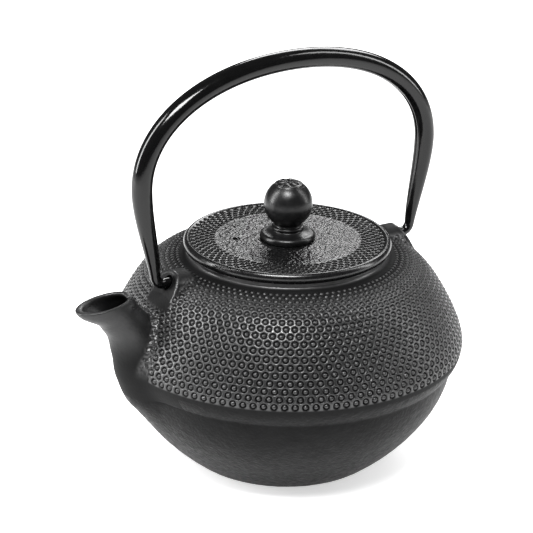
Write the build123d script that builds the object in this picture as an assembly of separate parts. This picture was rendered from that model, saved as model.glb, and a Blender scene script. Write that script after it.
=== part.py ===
from build123d import *
import math
import os

# Cast iron teapot with a hobnail shoulder, lift-off lid, swinging handle and infuser.
# Millimetres. The origin is on the pot's axis, at the plane that it stands on.
# +Z is up and the spout points along +X. Both handle lugs lie in the XZ plane.

# ---- driving dimensions: the casting ----
BELT_R = 77.5            # widest radius of the pot
BELT_Z = 55.0            # height of the widest line
FOOT_R = 41.0            # flat disc that the pot stands on
SEAM_R = 73.2            # the bowl just below the overhang of the hobnail shoulder
SEAM_Z = 45.0
WALL = 3.4               # thickness of the casting
FLOOR_T = 4.5            # thickness at the bottom
SEAM_TURN = 100.0        # degrees: turns the seam of the revolved faces clear of spout and lugs

# ---- driving dimensions: collar and mouth ----
COLLAR_R = 43.4
COLLAR_Z = 95.4          # top face of the collar, where the lid rests
SHOULDER_Z = 92.6        # where the shoulder meets the collar
SHOULDER_TURN = (63.0, 84.0)     # radius and height where the shoulder turns inwards
MOUTH_R = 36.2           # clear radius of the mouth
LEDGE_R = 39.6           # recess that takes the infuser's flange
LEDGE_DEPTH = 1.0

# ---- driving dimensions: spout ----
SPOUT_WALL = 2.6
LIP_CENTRE = (89.5, 87.4)        # centre of the pouring lip, x and z
LIP_HALF_LENGTH = 12.3           # along X
LIP_HALF_WIDTH = 7.8             # along Y
LIP_TILT = -8.9                  # degrees: the lip's tip is lower than its heel
SPOUT_BLOCK_HALF_WIDTH = 16.5    # block of the casting that is kept as the spout's own file
SPOUT_BLOCK_X = (60.0, 70.0)     # its inner face below and above the step
SPOUT_BLOCK_Z = (32.0, 79.0)     # its underside and the step

# ---- driving dimensions: lugs and handle ----
HINGE_Z = 90.3           # height of the line through both lugs
LUG_HALF_WIDTH = 8.2
LUG_TOP_Z = 95.0
LUG_INNER_X = 48.5
LUG_TOP_X = 57.0         # outer edge of the lug's top
LUG_FOOT = (62.9, 84.0)  # foot of the lug's sloping outer face, x and z
SOCKET_R = 2.8           # blind hole that takes the handle's hooked end
SOCKET_END_X = 52.4
HOOK_TIP_X = 53.0
HOOK_R = 2.2             # radius of the hooked end
TUBE_R = 4.4             # radius of the handle's tube
TUBE_WALL = 1.0
ARCH_TOP_Z = 178.2       # centre line at the top of the arch
ARCH_FOOT_Z = 133.0      # where the arch turns into the straight arms
ARCH_HALF_SPAN = 71.3
ARCH_FULLNESS = 0.59     # 0.55 is an ellipse; more is squarer
ARM_LEAN = 6.0           # degrees that the arm leans in where it meets the bend
BEND_R = 4.2             # centre line radius of the bend into the lug
BEND_CENTRE_X = 61.1

# ---- driving dimensions: lid ----
LID_R = 44.9
LID_TOP_Z = 99.0         # plane of the lid's plain centre
RIM_TOP_Z = 99.6         # top of the rim bead
RIM_INNER_R = 42.0
RIM_CREST_R = 43.0
RIM_EDGE_INSET = 1.1     # where the bead's crest meets the lid's edge
LID_EDGE_INSET = 0.9     # where the lid's edge meets the collar
LID_EDGE_Z = 97.4        # height of the lid's widest line
LID_UNDER_Z = 95.9       # underside inside the rim
SKIRT_OUTER_R = 33.4
SKIRT_INNER_R = 31.0
SKIRT_DEPTH = 5.0
VENT_R = 1.3
VENT_CENTRE = (19.6, -10.5)

# ---- driving dimensions: knob and its screw ----
KNOB_FOOT_R = 11.8
KNOB_FOOT_TOP = (9.4, 102.0)     # radius and height where the foot's round edge ends
KNOB_NECK_LOW_Z = 102.6
KNOB_NECK_HIGH_Z = 104.4
KNOB_BEAD_R = 7.3        # bead round the neck
KNOB_BALL_LOW = (6.2, 106.6)     # radius and height where the ball starts
KNOB_BALL_R = 10.5
KNOB_BALL_Z = 115.4
KNOB_TOP_Z = 124.4
KNOB_TOP_R = 5.6         # flattened top that carries the petals
KNOB_NECK_R = 6.4
PETAL_COUNT = 8
PETAL_R = 1.5
PETAL_RING_R = 3.6
PETAL_HEIGHT = 0.4       # of the relief above the knob's flattened top
BUD_R = 1.6              # round bud between the petals
SCREW_R = 2.0
SCREW_HOLE_R = 2.3
SCREW_HEAD_R = 4.0
SCREW_HEAD_H = 2.2
SCREW_SLOT_LENGTH = 4.4
SCREW_SLOT_WIDTH = 0.9
SCREW_SLOT_DEPTH = 1.1
SCREW_TIP_Z = 108.0
TAPPED_END_Z = 109.0
WASHER_R = 6.0
WASHER_T = 0.8
BOSS_R = 8.0             # pad below the lid that the washer bears on
BOSS_Z = 95.2

# ---- driving dimensions: infuser ----
INFUSER_FLANGE_R = 39.2
INFUSER_FLANGE_T = 0.7
INFUSER_NECK_R = 35.5    # outside of the flange's turned-down neck
INFUSER_NECK_H = 5.0
SHEET = 0.5              # thickness of the stainless sheet
INFUSER_BOTTOM_Z = 56.6
BAND_H = 3.0
BAND_TURN_IN = 4.0       # width of the band's edge below the floor
RIM_LAP = 1.0            # gap from the cylinder's top edge to the ledge
SEAM_HALF_WIDTH = 3.0
FIT = 0.04               # gap between pressed sheet parts


def export(shape, node):
    """Write one sub-part to its own file."""
    export_step(shape, f"parts/{node}.step")


def ring(outer_r, inner_r, low_z, high_z):
    """Plain ring about the pot's axis."""
    height = high_z - low_z
    solid = Cylinder(outer_r, height) - Cylinder(inner_r, height)
    return Pos(0, 0, (low_z + high_z) / 2) * solid


def disc(radius, low_z, high_z):
    """Plain disc about the pot's axis."""
    return Pos(0, 0, (low_z + high_z) / 2) * Cylinder(radius, high_z - low_z)


# ---------------------------------------------------------------- casting
def outer_shell():
    """Solid of revolution: bowl, overhanging hobnail shoulder and collar."""
    foot_edge = (FOOT_R + 2.2, 1.2)
    seam = (SEAM_R, SEAM_Z)
    belt = (BELT_R, BELT_Z)
    with BuildPart() as part:
        with BuildSketch(Plane.XZ):
            with BuildLine():
                Line((0, 0), (FOOT_R, 0))
                Line((FOOT_R, 0), foot_edge)
                Bezier(foot_edge, (58.8, 13.2), (71.8, 29.5), seam)
                Bezier(seam, (75.0, 46.5), (BELT_R, BELT_Z - 4.5), belt)
                Bezier(belt, (BELT_R, BELT_Z + 6.0), (68.7, 77.5), SHOULDER_TURN)
                Bezier(SHOULDER_TURN, (59.5, 88.0), (51.5, 92.0), (COLLAR_R, SHOULDER_Z))
                Line((COLLAR_R, SHOULDER_Z), (COLLAR_R, COLLAR_Z))
                Line((COLLAR_R, COLLAR_Z), (0, COLLAR_Z))
                Line((0, COLLAR_Z), (0, 0))
            make_face()
        revolve(axis=Axis.Z)
    return Rot(0, 0, SEAM_TURN) * part.part


def cavity():
    """Hollow of the pot, the mouth and the ledge round it."""
    floor_edge = (FOOT_R - 3, FLOOR_T)
    seam = (SEAM_R - WALL - 0.2, SEAM_Z + 0.5)
    belt = (BELT_R - WALL, BELT_Z)
    turn = (SHOULDER_TURN[0] - 2.4, SHOULDER_TURN[1] - 2.5)
    neck = (MOUTH_R + 3, 88.9)
    neck_top = (MOUTH_R, 90.6)
    above = COLLAR_Z + 1
    with BuildPart() as part:
        with BuildSketch(Plane.XZ):
            with BuildLine():
                Line((0, FLOOR_T), floor_edge)
                Bezier(floor_edge, (54.0, 14.3), (67.8, 30.5), seam)
                Bezier(seam, (71.4, 47.2), (BELT_R - WALL, BELT_Z - 4.0), belt)
                Bezier(belt, (BELT_R - WALL, BELT_Z + 5.5), (65.9, 75.4), turn)
                Bezier(turn, (57.4, 85.1), (50.0, 88.4), neck)
                Line(neck, neck_top)
                Line(neck_top, (MOUTH_R, above))
                Line((MOUTH_R, above), (0, above))
                Line((0, above), (0, FLOOR_T))
            make_face()
        revolve(axis=Axis.Z)
    ledge = disc(LEDGE_R, COLLAR_Z - LEDGE_DEPTH, above)
    return Rot(0, 0, SEAM_TURN) * part.part + ledge


# Stations of the spout's centre line below the lip: x, z, radius and lean from upright in degrees.
SPOUT_STATIONS = [
    (57.0, 38.5, 13.2, 52),
    (61.5, 43.0, 14.1, 47),
    (66.4, 48.2, 14.4, 38),
    (71.4, 56.0, 12.5, 26),
    (75.2, 65.0, 10.3, 20),
    (78.9, 75.0, 9.3, 26),
    (83.4, 81.6, 8.5, 34),
]


def spout_section(x, z, radius, lean):
    """Round section of the spout, square to its centre line."""
    lean_rad = math.radians(lean)
    direction = (math.sin(lean_rad), 0, math.cos(lean_rad))
    return Plane(origin=(x, 0, z), x_dir=(0, 1, 0), z_dir=direction) * Circle(radius)


def lip_plane(rise):
    """Plane of the pouring lip, raised along its own normal."""
    tilt = math.radians(LIP_TILT)
    normal = (-math.sin(tilt), 0, math.cos(tilt))
    origin = (LIP_CENTRE[0] + rise * normal[0], 0, LIP_CENTRE[1] + rise * normal[2])
    return Plane(origin=origin, x_dir=(0, 1, 0), z_dir=normal)


def spout_solid(inset, lip_inset, rise):
    """Loft from the spout's root to its lip, thinner by the given inset."""
    sections = []
    for x, z, radius, lean in SPOUT_STATIONS:
        sections.append(spout_section(x, z, radius - inset, lean))
    lip = Ellipse(LIP_HALF_WIDTH - lip_inset, LIP_HALF_LENGTH - lip_inset)
    sections.append(lip_plane(rise) * lip)
    return loft(sections)


def lug(side):
    """Arched lug with a sloping outer face; side is +1 or -1."""
    foot_z = 78.0
    foot_x = LUG_FOOT[0] + (LUG_FOOT[1] - foot_z) * 0.3
    outline = Polyline(
        (LUG_INNER_X, foot_z), (foot_x, foot_z), LUG_FOOT, (LUG_TOP_X, LUG_TOP_Z),
        (LUG_INNER_X + 3, LUG_TOP_Z), (LUG_INNER_X, LUG_TOP_Z - 3), (LUG_INNER_X, foot_z),
    )
    side_view = Plane.XZ * make_face(outline)
    wedge = extrude(side_view, amount=LUG_HALF_WIDTH * 1.5, both=True)
    arch_z = LUG_TOP_Z - LUG_HALF_WIDTH
    reach = 40.0
    round_top = Cylinder(LUG_HALF_WIDTH, reach, rotation=(0, 90, 0))
    column = Box(reach, 2 * LUG_HALF_WIDTH, reach)
    arch = Pos(LUG_TOP_X, 0, arch_z) * round_top + Pos(LUG_TOP_X, 0, arch_z - reach / 2) * column
    solid = wedge & arch
    if side < 0:
        solid = mirror(solid, about=Plane.YZ)
    return solid


def socket(side):
    """Blind hole for the handle's hooked end."""
    reach = 20.0
    drill = Cylinder(SOCKET_R, reach, rotation=(0, 90, 0))
    return Pos(side * (SOCKET_END_X + reach / 2), 0, HINGE_Z) * drill


def casting():
    """The whole casting: bowl, shoulder, collar, spout and lugs."""
    body = outer_shell()
    body = body + spout_solid(0, 0, 0)
    body = body + lug(1) + lug(-1)
    body = body - cavity()
    bore = spout_solid(SPOUT_WALL, 2.0, 0.6)
    body = body - bore
    body = body - socket(1) - socket(-1)
    return body


def spout_block():
    """Stepped block that holds the spout and its root, clear of the lug."""
    reach_x = 110.0
    reach_z = 100.0
    root_x, step_x = SPOUT_BLOCK_X
    low_z, step_z = SPOUT_BLOCK_Z
    width = 2 * SPOUT_BLOCK_HALF_WIDTH
    root = Box(reach_x - root_x, width, step_z - low_z)
    tip = Box(reach_x - step_x, width, reach_z - step_z)
    root = Pos((reach_x + root_x) / 2, 0, (step_z + low_z) / 2) * root
    tip = Pos((reach_x + step_x) / 2, 0, (reach_z + step_z) / 2) * tip
    return root + tip


# ---------------------------------------------------------------- handle
def arch_tube(radius):
    """Tube of the arch, from one shoulder over the top to the other."""
    rise = ARCH_TOP_Z - ARCH_FOOT_Z
    high = ARCH_FOOT_Z + rise * ARCH_FULLNESS
    flat = ARCH_HALF_SPAN * ARCH_FULLNESS
    top = (0, 0, ARCH_TOP_Z)
    with BuildLine() as path:
        for side in (1, -1):
            foot = (side * ARCH_HALF_SPAN, 0, ARCH_FOOT_Z)
            Bezier(foot, (side * ARCH_HALF_SPAN, 0, high), (side * flat, 0, ARCH_TOP_Z), top)
    start = Plane(origin=(ARCH_HALF_SPAN, 0, ARCH_FOOT_Z), z_dir=(0, 0, 1))
    return sweep(start * Circle(radius), path=path.line)


def bend_start():
    """Where the drawn-down arm meets the bend into the lug, and the arm's lean there."""
    lean = math.radians(ARM_LEAN)
    x = BEND_CENTRE_X + BEND_R * math.cos(lean)
    z = HINGE_Z + BEND_R - BEND_R * math.sin(lean)
    return x, z, lean


def arm_tube(inset, share):
    """Tapered arm below the arch; share is how much of its length is made."""
    end_x, end_z, lean = bend_start()
    pull = 12.0
    curve = Bezier(
        (ARCH_HALF_SPAN, 0, ARCH_FOOT_Z), (ARCH_HALF_SPAN, 0, ARCH_FOOT_Z - pull),
        (end_x + pull * math.sin(lean), 0, end_z + pull * math.cos(lean)), (end_x, 0, end_z),
    )
    sections = []
    steps = 5
    for i in range(steps + 1):
        along = share * i / steps
        radius = TUBE_R + (HOOK_R - TUBE_R) * along ** 1.5
        plane = Plane(origin=curve @ along, x_dir=(0, 1, 0), z_dir=curve % along)
        sections.append(plane * Circle(radius - inset))
    return loft(sections)


def hooked_end():
    """Quarter bend and the straight tip that sits in the lug."""
    x, z, lean = bend_start()
    bend_centre = (BEND_CENTRE_X, 0, HINGE_Z + BEND_R)
    start = Plane(origin=(x, 0, z), x_dir=(0, 1, 0), z_dir=(-math.sin(lean), 0, -math.cos(lean)))
    turn_axis = Axis(bend_centre, (0, 1, 0))
    bend = revolve(start * Circle(HOOK_R), axis=turn_axis, revolution_arc=90 - ARM_LEAN)
    length = BEND_CENTRE_X - HOOK_TIP_X
    tip = Pos(HOOK_TIP_X + length / 2, 0, HINGE_Z) * Cylinder(HOOK_R, length, rotation=(0, 90, 0))
    return bend + tip


def handle():
    """Hollow rolled tube, closed and drawn down at both hooked ends."""
    half = arm_tube(0, 1) + hooked_end()
    outer = arch_tube(TUBE_R) + half + mirror(half, about=Plane.YZ)
    hollow_arm = arm_tube(TUBE_WALL, 0.6)
    hollow = arch_tube(TUBE_R - TUBE_WALL) + hollow_arm + mirror(hollow_arm, about=Plane.YZ)
    return outer - hollow


# ---------------------------------------------------------------- lid
def lid_plate():
    """Lid casting: plate with a rim bead, locating skirt, screw boss, vent and screw hole."""
    bead_edge = (LID_R - RIM_EDGE_INSET, RIM_TOP_Z - 0.15)
    skirt_low_z = COLLAR_Z - SKIRT_DEPTH
    with BuildPart() as part:
        with BuildSketch(Plane.XZ):
            with BuildLine():
                Line((0, BOSS_Z), (BOSS_R, BOSS_Z))
                Line((BOSS_R, BOSS_Z), (BOSS_R, LID_UNDER_Z))
                Line((BOSS_R, LID_UNDER_Z), (SKIRT_INNER_R, LID_UNDER_Z))
                Line((SKIRT_INNER_R, LID_UNDER_Z), (SKIRT_INNER_R, skirt_low_z))
                Line((SKIRT_INNER_R, skirt_low_z), (SKIRT_OUTER_R, skirt_low_z))
                Line((SKIRT_OUTER_R, skirt_low_z), (SKIRT_OUTER_R, COLLAR_Z))
                Line((SKIRT_OUTER_R, COLLAR_Z), (LID_R - LID_EDGE_INSET, COLLAR_Z))
                ThreePointArc((LID_R - LID_EDGE_INSET, COLLAR_Z), (LID_R, LID_EDGE_Z), bead_edge)
                ThreePointArc(bead_edge, (RIM_CREST_R, RIM_TOP_Z), (RIM_INNER_R, LID_TOP_Z))
                Line((RIM_INNER_R, LID_TOP_Z), (0, LID_TOP_Z))
                Line((0, LID_TOP_Z), (0, BOSS_Z))
            make_face()
        revolve(axis=Axis.Z)
    plate = part.part - disc(SCREW_HOLE_R, BOSS_Z - 1, LID_TOP_Z + 1)
    vent = Pos(VENT_CENTRE[0], VENT_CENTRE[1], LID_TOP_Z) * Cylinder(VENT_R, 20)
    return plate - vent


def lid_knob():
    """Ball knob on a beaded neck and a round foot, tapped from below."""
    foot_low = (KNOB_FOOT_R - 0.8, LID_TOP_Z)
    foot_mid = (KNOB_FOOT_R, LID_TOP_Z + 1.2)
    neck_low = (KNOB_NECK_R, KNOB_NECK_LOW_Z)
    neck_bead = (KNOB_BEAD_R, (KNOB_NECK_LOW_Z + KNOB_NECK_HIGH_Z) / 2)
    neck_high = (KNOB_NECK_R, KNOB_NECK_HIGH_Z)
    flat_z = KNOB_TOP_Z - PETAL_HEIGHT
    with BuildPart() as part:
        with BuildSketch(Plane.XZ):
            with BuildLine():
                Line((0, LID_TOP_Z), foot_low)
                ThreePointArc(foot_low, foot_mid, KNOB_FOOT_TOP)
                Line(KNOB_FOOT_TOP, neck_low)
                ThreePointArc(neck_low, neck_bead, neck_high)
                Line(neck_high, KNOB_BALL_LOW)
                ThreePointArc(KNOB_BALL_LOW, (KNOB_BALL_R, KNOB_BALL_Z), (KNOB_TOP_R, flat_z))
                Line((KNOB_TOP_R, flat_z), (0, flat_z))
                Line((0, flat_z), (0, LID_TOP_Z))
            make_face()
        revolve(axis=Axis.Z)
    knob = part.part + Pos(0, 0, KNOB_TOP_Z - 1.0) * Sphere(BUD_R)
    for i in range(PETAL_COUNT):
        angle = 2 * math.pi * i / PETAL_COUNT
        x = PETAL_RING_R * math.cos(angle)
        y = PETAL_RING_R * math.sin(angle)
        knob = knob + Pos(x, y, KNOB_TOP_Z - 1.1) * Sphere(PETAL_R)
    return knob - disc(SCREW_R, LID_TOP_Z - 1, TAPPED_END_Z)


def knob_washer():
    return ring(WASHER_R, SCREW_HOLE_R, BOSS_Z - WASHER_T, BOSS_Z)


def knob_screw():
    """Pan head screw with a cross slot, from below the lid into the knob."""
    bearing_z = BOSS_Z - WASHER_T
    head = disc(SCREW_HEAD_R, bearing_z - SCREW_HEAD_H, bearing_z)
    bottom_edges = head.edges().group_by(Axis.Z)[0]
    head = fillet(bottom_edges, 0.9)
    shank = disc(SCREW_R, bearing_z, SCREW_TIP_Z)
    cross = Box(SCREW_SLOT_WIDTH, SCREW_SLOT_LENGTH, 2 * SCREW_SLOT_DEPTH)
    cross = cross + Box(SCREW_SLOT_LENGTH, SCREW_SLOT_WIDTH, 2 * SCREW_SLOT_DEPTH)
    slot = Pos(0, 0, bearing_z - SCREW_HEAD_H) * cross
    return head + shank - slot


# ---------------------------------------------------------------- infuser
def infuser_rim():
    """Flange that hangs on the mouth's ledge, with a turned-down neck."""
    ledge_z = COLLAR_Z - LEDGE_DEPTH
    flange = ring(INFUSER_FLANGE_R, INFUSER_NECK_R - SHEET, ledge_z, ledge_z + INFUSER_FLANGE_T)
    neck = ring(INFUSER_NECK_R, INFUSER_NECK_R - SHEET, ledge_z - INFUSER_NECK_H, ledge_z)
    return flange + neck


def infuser_wall_radius():
    """Outside radius of the perforated cylinder."""
    return INFUSER_NECK_R - SHEET - FIT


def infuser_wall():
    radius = infuser_wall_radius()
    return ring(radius, radius - SHEET, INFUSER_BOTTOM_Z + SHEET, COLLAR_Z - LEDGE_DEPTH - RIM_LAP)


def infuser_seam():
    """Lapped strip down the inside of the cylinder, on the side away from the spout."""
    outer = infuser_wall_radius() - SHEET - FIT
    full = ring(outer, outer - SHEET, INFUSER_BOTTOM_Z + BAND_H + 2.0, COLLAR_Z - LEDGE_DEPTH - RIM_LAP)
    keep = Pos(-outer, 0, COLLAR_Z - 20) * Box(10, 2 * SEAM_HALF_WIDTH, 60)
    return full & keep


def infuser_floor():
    radius = infuser_wall_radius() - SHEET - FIT
    low_z = INFUSER_BOTTOM_Z + SHEET + FIT
    return disc(radius, low_z, low_z + SHEET)


def infuser_base_band():
    """Pressed band round the foot of the cylinder, turned in under it."""
    inner = infuser_wall_radius() + FIT
    outer = inner + SHEET
    band = ring(outer, inner, INFUSER_BOTTOM_Z, INFUSER_BOTTOM_Z + BAND_H)
    turned_in = ring(outer, outer - BAND_TURN_IN, INFUSER_BOTTOM_Z, INFUSER_BOTTOM_Z + SHEET - FIT)
    return band + turned_in


os.makedirs("parts", exist_ok=True)
pot = casting()
export(pot - spout_block(), "pot_body")
export(pot & spout_block(), "pot_spout")
export(handle(), "handle")
export(lid_plate(), "lid_plate")
export(lid_knob(), "lid_knob")
export(knob_washer(), "knob_washer")
export(knob_screw(), "knob_screw")
export(infuser_rim(), "infuser_rim")
export(infuser_wall(), "infuser_wall")
export(infuser_seam(), "infuser_seam")
export(infuser_floor(), "infuser_floor")
export(infuser_base_band(), "infuser_base_band")
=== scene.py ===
import math

import bpy
import numpy as np
from mathutils import Matrix, Vector
from mathutils import noise


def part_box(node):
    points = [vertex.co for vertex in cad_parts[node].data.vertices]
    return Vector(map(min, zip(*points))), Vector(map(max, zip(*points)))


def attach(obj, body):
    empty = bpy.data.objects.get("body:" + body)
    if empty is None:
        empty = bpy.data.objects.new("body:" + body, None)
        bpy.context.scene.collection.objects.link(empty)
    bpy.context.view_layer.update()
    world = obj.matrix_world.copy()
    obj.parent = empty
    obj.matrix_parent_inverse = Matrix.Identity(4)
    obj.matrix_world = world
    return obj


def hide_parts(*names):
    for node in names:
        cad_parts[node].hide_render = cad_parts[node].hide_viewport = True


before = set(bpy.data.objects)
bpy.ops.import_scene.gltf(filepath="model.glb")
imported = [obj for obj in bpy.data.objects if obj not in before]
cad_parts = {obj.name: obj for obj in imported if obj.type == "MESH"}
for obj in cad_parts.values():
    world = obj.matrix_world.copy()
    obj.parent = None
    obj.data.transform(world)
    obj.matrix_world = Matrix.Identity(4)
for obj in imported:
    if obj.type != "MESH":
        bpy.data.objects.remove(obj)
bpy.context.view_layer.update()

# Cast iron teapot. Shapes are worked out in millimetres and become metres in make_piece().
# The origin is on the pot's axis at the table, +Z is up and the spout points along +X.
MM = 0.001

# ---- pot: profile of revolution ----
FOOT_R = 41.0
SEAM = (73.2, 45.0)              # bowl just below the overhang
BELT = (77.5, 55.0)              # widest line
TURN = (63.0, 84.0)              # shoulder turns inwards
COLLAR_R = 43.4
COLLAR_Z = 95.4
SHOULDER_Z = 92.6
MOUTH_R = 36.2
LEDGE_R = 39.6
LEDGE_Z = 94.4
FLOOR_T = 4.5
CAVITY_SEAM = (69.6, 45.5)
CAVITY_BELT = (74.1, 55.0)
CAVITY_TURN = (60.6, 81.5)
SPLIT_Z = 51.6                   # parting line of the casting, below the lowest hobnails

# ---- hobnails ----
HOBNAIL_COUNT = 114              # round every row
HOBNAIL_ROWS = 18
HOBNAIL_FIRST_Z = 55.3           # height of the lowest row
HOBNAIL_MAX_SPACING = 3.23       # between rows near the belt
HOBNAIL_SPACING_SHARE = 0.84     # of the pitch, further up
HOBNAIL_DEPTH = 0.95
HOBNAIL_RISE = 0.20              # of a dome above the ridges
LID_DOT_COUNT = 69
LID_DOT_DEPTH = 0.8
LID_DOT_RISE = -0.4              # of a dome, so it stays below the ridges
LID_DOT_FIRST_R = 32.8
LID_DOT_SPACING = 2.06
LID_DOT_ROWS = 5

# ---- spout: x, z, half length, half width and lean from upright of each section ----
SPOUT = [
    (57.0, 38.5, 13.2, 13.2, 52.0),
    (61.5, 43.0, 14.1, 14.1, 47.0),
    (66.4, 48.2, 14.4, 14.2, 38.0),
    (71.4, 56.0, 12.5, 12.1, 26.0),
    (75.2, 65.0, 10.3, 10.3, 20.0),
    (78.9, 75.0, 9.3, 9.3, 26.0),
    (83.4, 81.6, 9.0, 8.2, 30.0),
    (89.5, 87.6, 12.9, 8.1, 8.0),
]
SPOUT_WALL = 2.5
LIP_WALL = 1.9

# ---- lugs ----
HINGE_Z = 90.3
LUG_HALF_WIDTH = 8.2
LUG_TOP_Z = 95.0
LUG_FOOT = (62.9, 84.0)
LUG_TOP_X = 57.0
SOCKET_R = 2.8
SOCKET_END_X = 52.4

# ---- lid and knob ----
LID_R = 44.9
LID_TOP_Z = 99.0
RIM_TOP_Z = 99.6
RIM_INNER_R = 42.0
LID_UNDER_Z = 95.9
BOSS_R = 8.0
BOSS_Z = 95.2
SKIRT_INNER_R = 31.0
SKIRT_OUTER_R = 33.4
SKIRT_LOW_Z = 90.4
SCREW_HOLE_R = 2.3
VENT_R = 1.3
VENT_CENTRE = (19.6, -10.5)
KNOB_TOP_R = 5.6
PETALS = 8

# ---- handle ----
TUBE_R = 4.4
HOOK_R = 2.2
ARCH_TOP_Z = 178.2
ARCH_FOOT_Z = 133.0
ARCH_HALF_SPAN = 71.3
ARCH_FULLNESS = 0.59
ARM_LEAN = math.radians(6.0)
BEND_R = 4.2
BEND_CENTRE_X = 61.1
HOOK_TIP_X = 53.0
ARM_PULL = 12.0                  # length of the arm's tangent handles at both ends


# ------------------------------------------------------------------ curves and fields
def bezier(p0, p1, p2, p3, count=40):
    """Points of a cubic curve, its last point left out."""
    t = np.linspace(0, 1, count, endpoint=False)[:, None]
    p0, p1, p2, p3 = (np.array(p, float) for p in (p0, p1, p2, p3))
    return (1 - t) ** 3 * p0 + 3 * (1 - t) ** 2 * t * p1 + 3 * (1 - t) * t**2 * p2 + t**3 * p3


def arc(p0, p1, p2, count=14):
    """Points of the circular arc from p0 through p1 to p2, its last point left out."""
    (ax, ay), (bx, by), (cx, cy) = p0, p1, p2
    d = 2 * (ax * (by - cy) + bx * (cy - ay) + cx * (ay - by))
    a2, b2, c2 = ax * ax + ay * ay, bx * bx + by * by, cx * cx + cy * cy
    ux = (a2 * (by - cy) + b2 * (cy - ay) + c2 * (ay - by)) / d
    uy = (a2 * (cx - bx) + b2 * (ax - cx) + c2 * (bx - ax)) / d
    start, middle, end = (math.atan2(y - uy, x - ux) for x, y in (p0, p1, p2))
    turn = (end - start) % (2 * math.pi)
    if (middle - start) % (2 * math.pi) > turn:
        turn -= 2 * math.pi
    angle = start + turn * np.linspace(0, 1, count, endpoint=False)
    radius = math.hypot(ax - ux, ay - uy)
    return np.stack([ux + radius * np.cos(angle), uy + radius * np.sin(angle)], 1)


def joined(*parts):
    """One outline from points and runs of points."""
    return np.concatenate([np.atleast_2d(np.array(part, float)) for part in parts])


def smooth_min(a, b, width):
    h = np.maximum(width - np.abs(a - b), 0) / width
    return np.minimum(a, b) - h**3 * width / 6


def smooth_max(a, b, width):
    return -smooth_min(-a, -b, width)


def fade(value, low, high):
    """0 below low, 1 above high, smooth between."""
    t = np.clip((value - low) / (high - low), 0, 1)
    return t * t * (3 - 2 * t)


def outline_distance(outline, r, z):
    """Signed distance to a closed outline, negative inside."""
    best = np.full(r.shape, 1e9)
    inside = np.zeros(r.shape, bool)
    for (r0, z0), (r1, z1) in zip(outline, np.roll(outline, -1, axis=0)):
        er, ez = r1 - r0, z1 - z0
        t = np.clip(((r - r0) * er + (z - z0) * ez) / (er * er + ez * ez + 1e-12), 0, 1)
        best = np.minimum(best, (r - r0 - t * er) ** 2 + (z - z0 - t * ez) ** 2)
        crosses = (z0 > z) != (z1 > z)
        rise = ez if abs(ez) > 1e-9 else 1e-9
        inside ^= crosses & (r < er * (z - z0) / rise + r0)
    return np.where(inside, -1, 1) * np.sqrt(best)


def revolved(outline, z_low, z_high, pitch=0.4):
    """Distance field of an outline turned about the pot's axis."""
    r_axis = np.arange(-2.0, 84.0, pitch)
    z_axis = np.arange(z_low, z_high, pitch)
    grid = outline_distance(outline, *np.meshgrid(r_axis, z_axis, indexing="ij"))

    def field(p):
        i = (np.hypot(p[:, 0], p[:, 1]) - r_axis[0]) / pitch
        k = (p[:, 2] - z_axis[0]) / pitch
        i0 = np.clip(i.astype(int), 0, len(r_axis) - 2)
        k0 = np.clip(k.astype(int), 0, len(z_axis) - 2)
        out, up = i - i0, k - k0
        low = grid[i0, k0] * (1 - out) + grid[i0 + 1, k0] * out
        high = grid[i0, k0 + 1] * (1 - out) + grid[i0 + 1, k0 + 1] * out
        return low * (1 - up) + high * up

    return field


# ------------------------------------------------------------------ pot
SHOULDER = joined(
    bezier(SEAM, (75.0, 46.5), (BELT[0], BELT[1] - 4.5), BELT),
    bezier(BELT, (BELT[0], BELT[1] + 6.0), (68.7, 77.5), TURN, 80),
    bezier(TURN, (59.8, 88.2), (52.5, 91.7), (46.2, 92.5), 60),
    bezier((46.2, 92.5), (44.6, 92.7), (43.6, 93.0), (COLLAR_R, 94.0), 10),
    (COLLAR_R, 94.0),
)
POT_OUTLINE = joined(
    (-10, 0), (FOOT_R, 0),
    bezier((FOOT_R + 2.2, 1.2), (58.8, 13.2), (71.8, 29.5), SEAM, 60),
    SHOULDER, (COLLAR_R, COLLAR_Z), (-10, COLLAR_Z),
)
CAVITY_OUTLINE = joined(
    (-10, FLOOR_T),
    bezier((FOOT_R - 3, FLOOR_T), (54.0, 14.3), (67.8, 30.5), CAVITY_SEAM),
    bezier(CAVITY_SEAM, (71.4, 47.2), (74.1, 51.0), CAVITY_BELT),
    bezier(CAVITY_BELT, (74.1, 60.5), (65.9, 75.4), CAVITY_TURN),
    bezier(CAVITY_TURN, (57.4, 85.1), (50.0, 88.4), (MOUTH_R + 3, 88.9)),
    (MOUTH_R + 3, 88.9), (MOUTH_R, 90.6), (MOUTH_R, LEDGE_Z), (LEDGE_R, LEDGE_Z), (LEDGE_R, 110), (-10, 110),
)
shell_field = revolved(POT_OUTLINE, -6, 112)
cavity_field = revolved(CAVITY_OUTLINE, -6, 112)


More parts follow.
